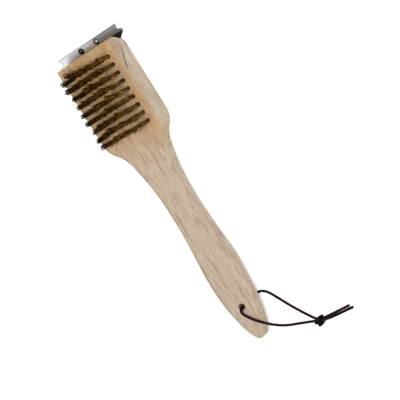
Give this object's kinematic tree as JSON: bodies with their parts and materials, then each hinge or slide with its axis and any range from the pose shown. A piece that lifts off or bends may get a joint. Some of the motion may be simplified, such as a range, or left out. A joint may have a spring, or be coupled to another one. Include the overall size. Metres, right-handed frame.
{
  "type": "grill cleaning brush",
  "caption": "Flat wooden grill brush with rows of brass wire tufts, a notched steel scraper riveted across the head and a knotted leather hanging loop.",
  "frame": {"origin": "middle of the brush's length and width without its thong, on the plane that its back lies on", "axes": "+X from the handle to the scraper, +Z the way the bristles point, +Y to the left when the scraper points away and the bristles face up"},
  "size_m": [0.3226, 0.1214, 0.042],
  "materials": {
    "wood": "bare sanded hardwood, fine lengthwise grain",
    "brass_wire": "crimped wire, dull and darkened between the tufts",
    "anchor_wire": "plain drawn wire strip",
    "blade_steel": "brushed sheet steel",
    "bracket_steel": "dark rolled sheet steel",
    "rivet_steel": "polished dome heads",
    "screw_steel": "zinc plated",
    "leather_thong": "dark waxed leather"
  },
  "bodies": {
    "brush": {"wooden_back": "wood", "scraper_bracket": "bracket_steel", "scraper_blade": "blade_steel", "scraper_rivets": "rivet_steel", "bracket_screws": "screw_steel", "bristle_row_1": "brass_wire", "bristle_row_2": "brass_wire", "bristle_row_3": "brass_wire", "bristle_row_4": "brass_wire", "bristle_row_5": "brass_wire", "bristle_row_6": "brass_wire", "bristle_row_7": "brass_wire", "bristle_row_8": "brass_wire", "bristle_row_9": "brass_wire", "anchor_row_1": "anchor_wire", "anchor_row_2": "anchor_wire", "anchor_row_3": "anchor_wire", "anchor_row_4": "anchor_wire", "anchor_row_5": "anchor_wire", "anchor_row_6": "anchor_wire", "anchor_row_7": "anchor_wire", "anchor_row_8": "anchor_wire", "anchor_row_9": "anchor_wire"},
    "hang_loop": {"thong_front_half": "leather_thong", "thong_back_half": "leather_thong", "thong_knot": "leather_thong"}
  },
  "joints": [
    {"name": "loop_swing", "type": "hinge", "parent": "brush", "child": "hang_loop", "pos_m": [-0.11966, 0, 0], "axis": [0, 0, 1], "range_deg": [-30, 30]}
  ]
}
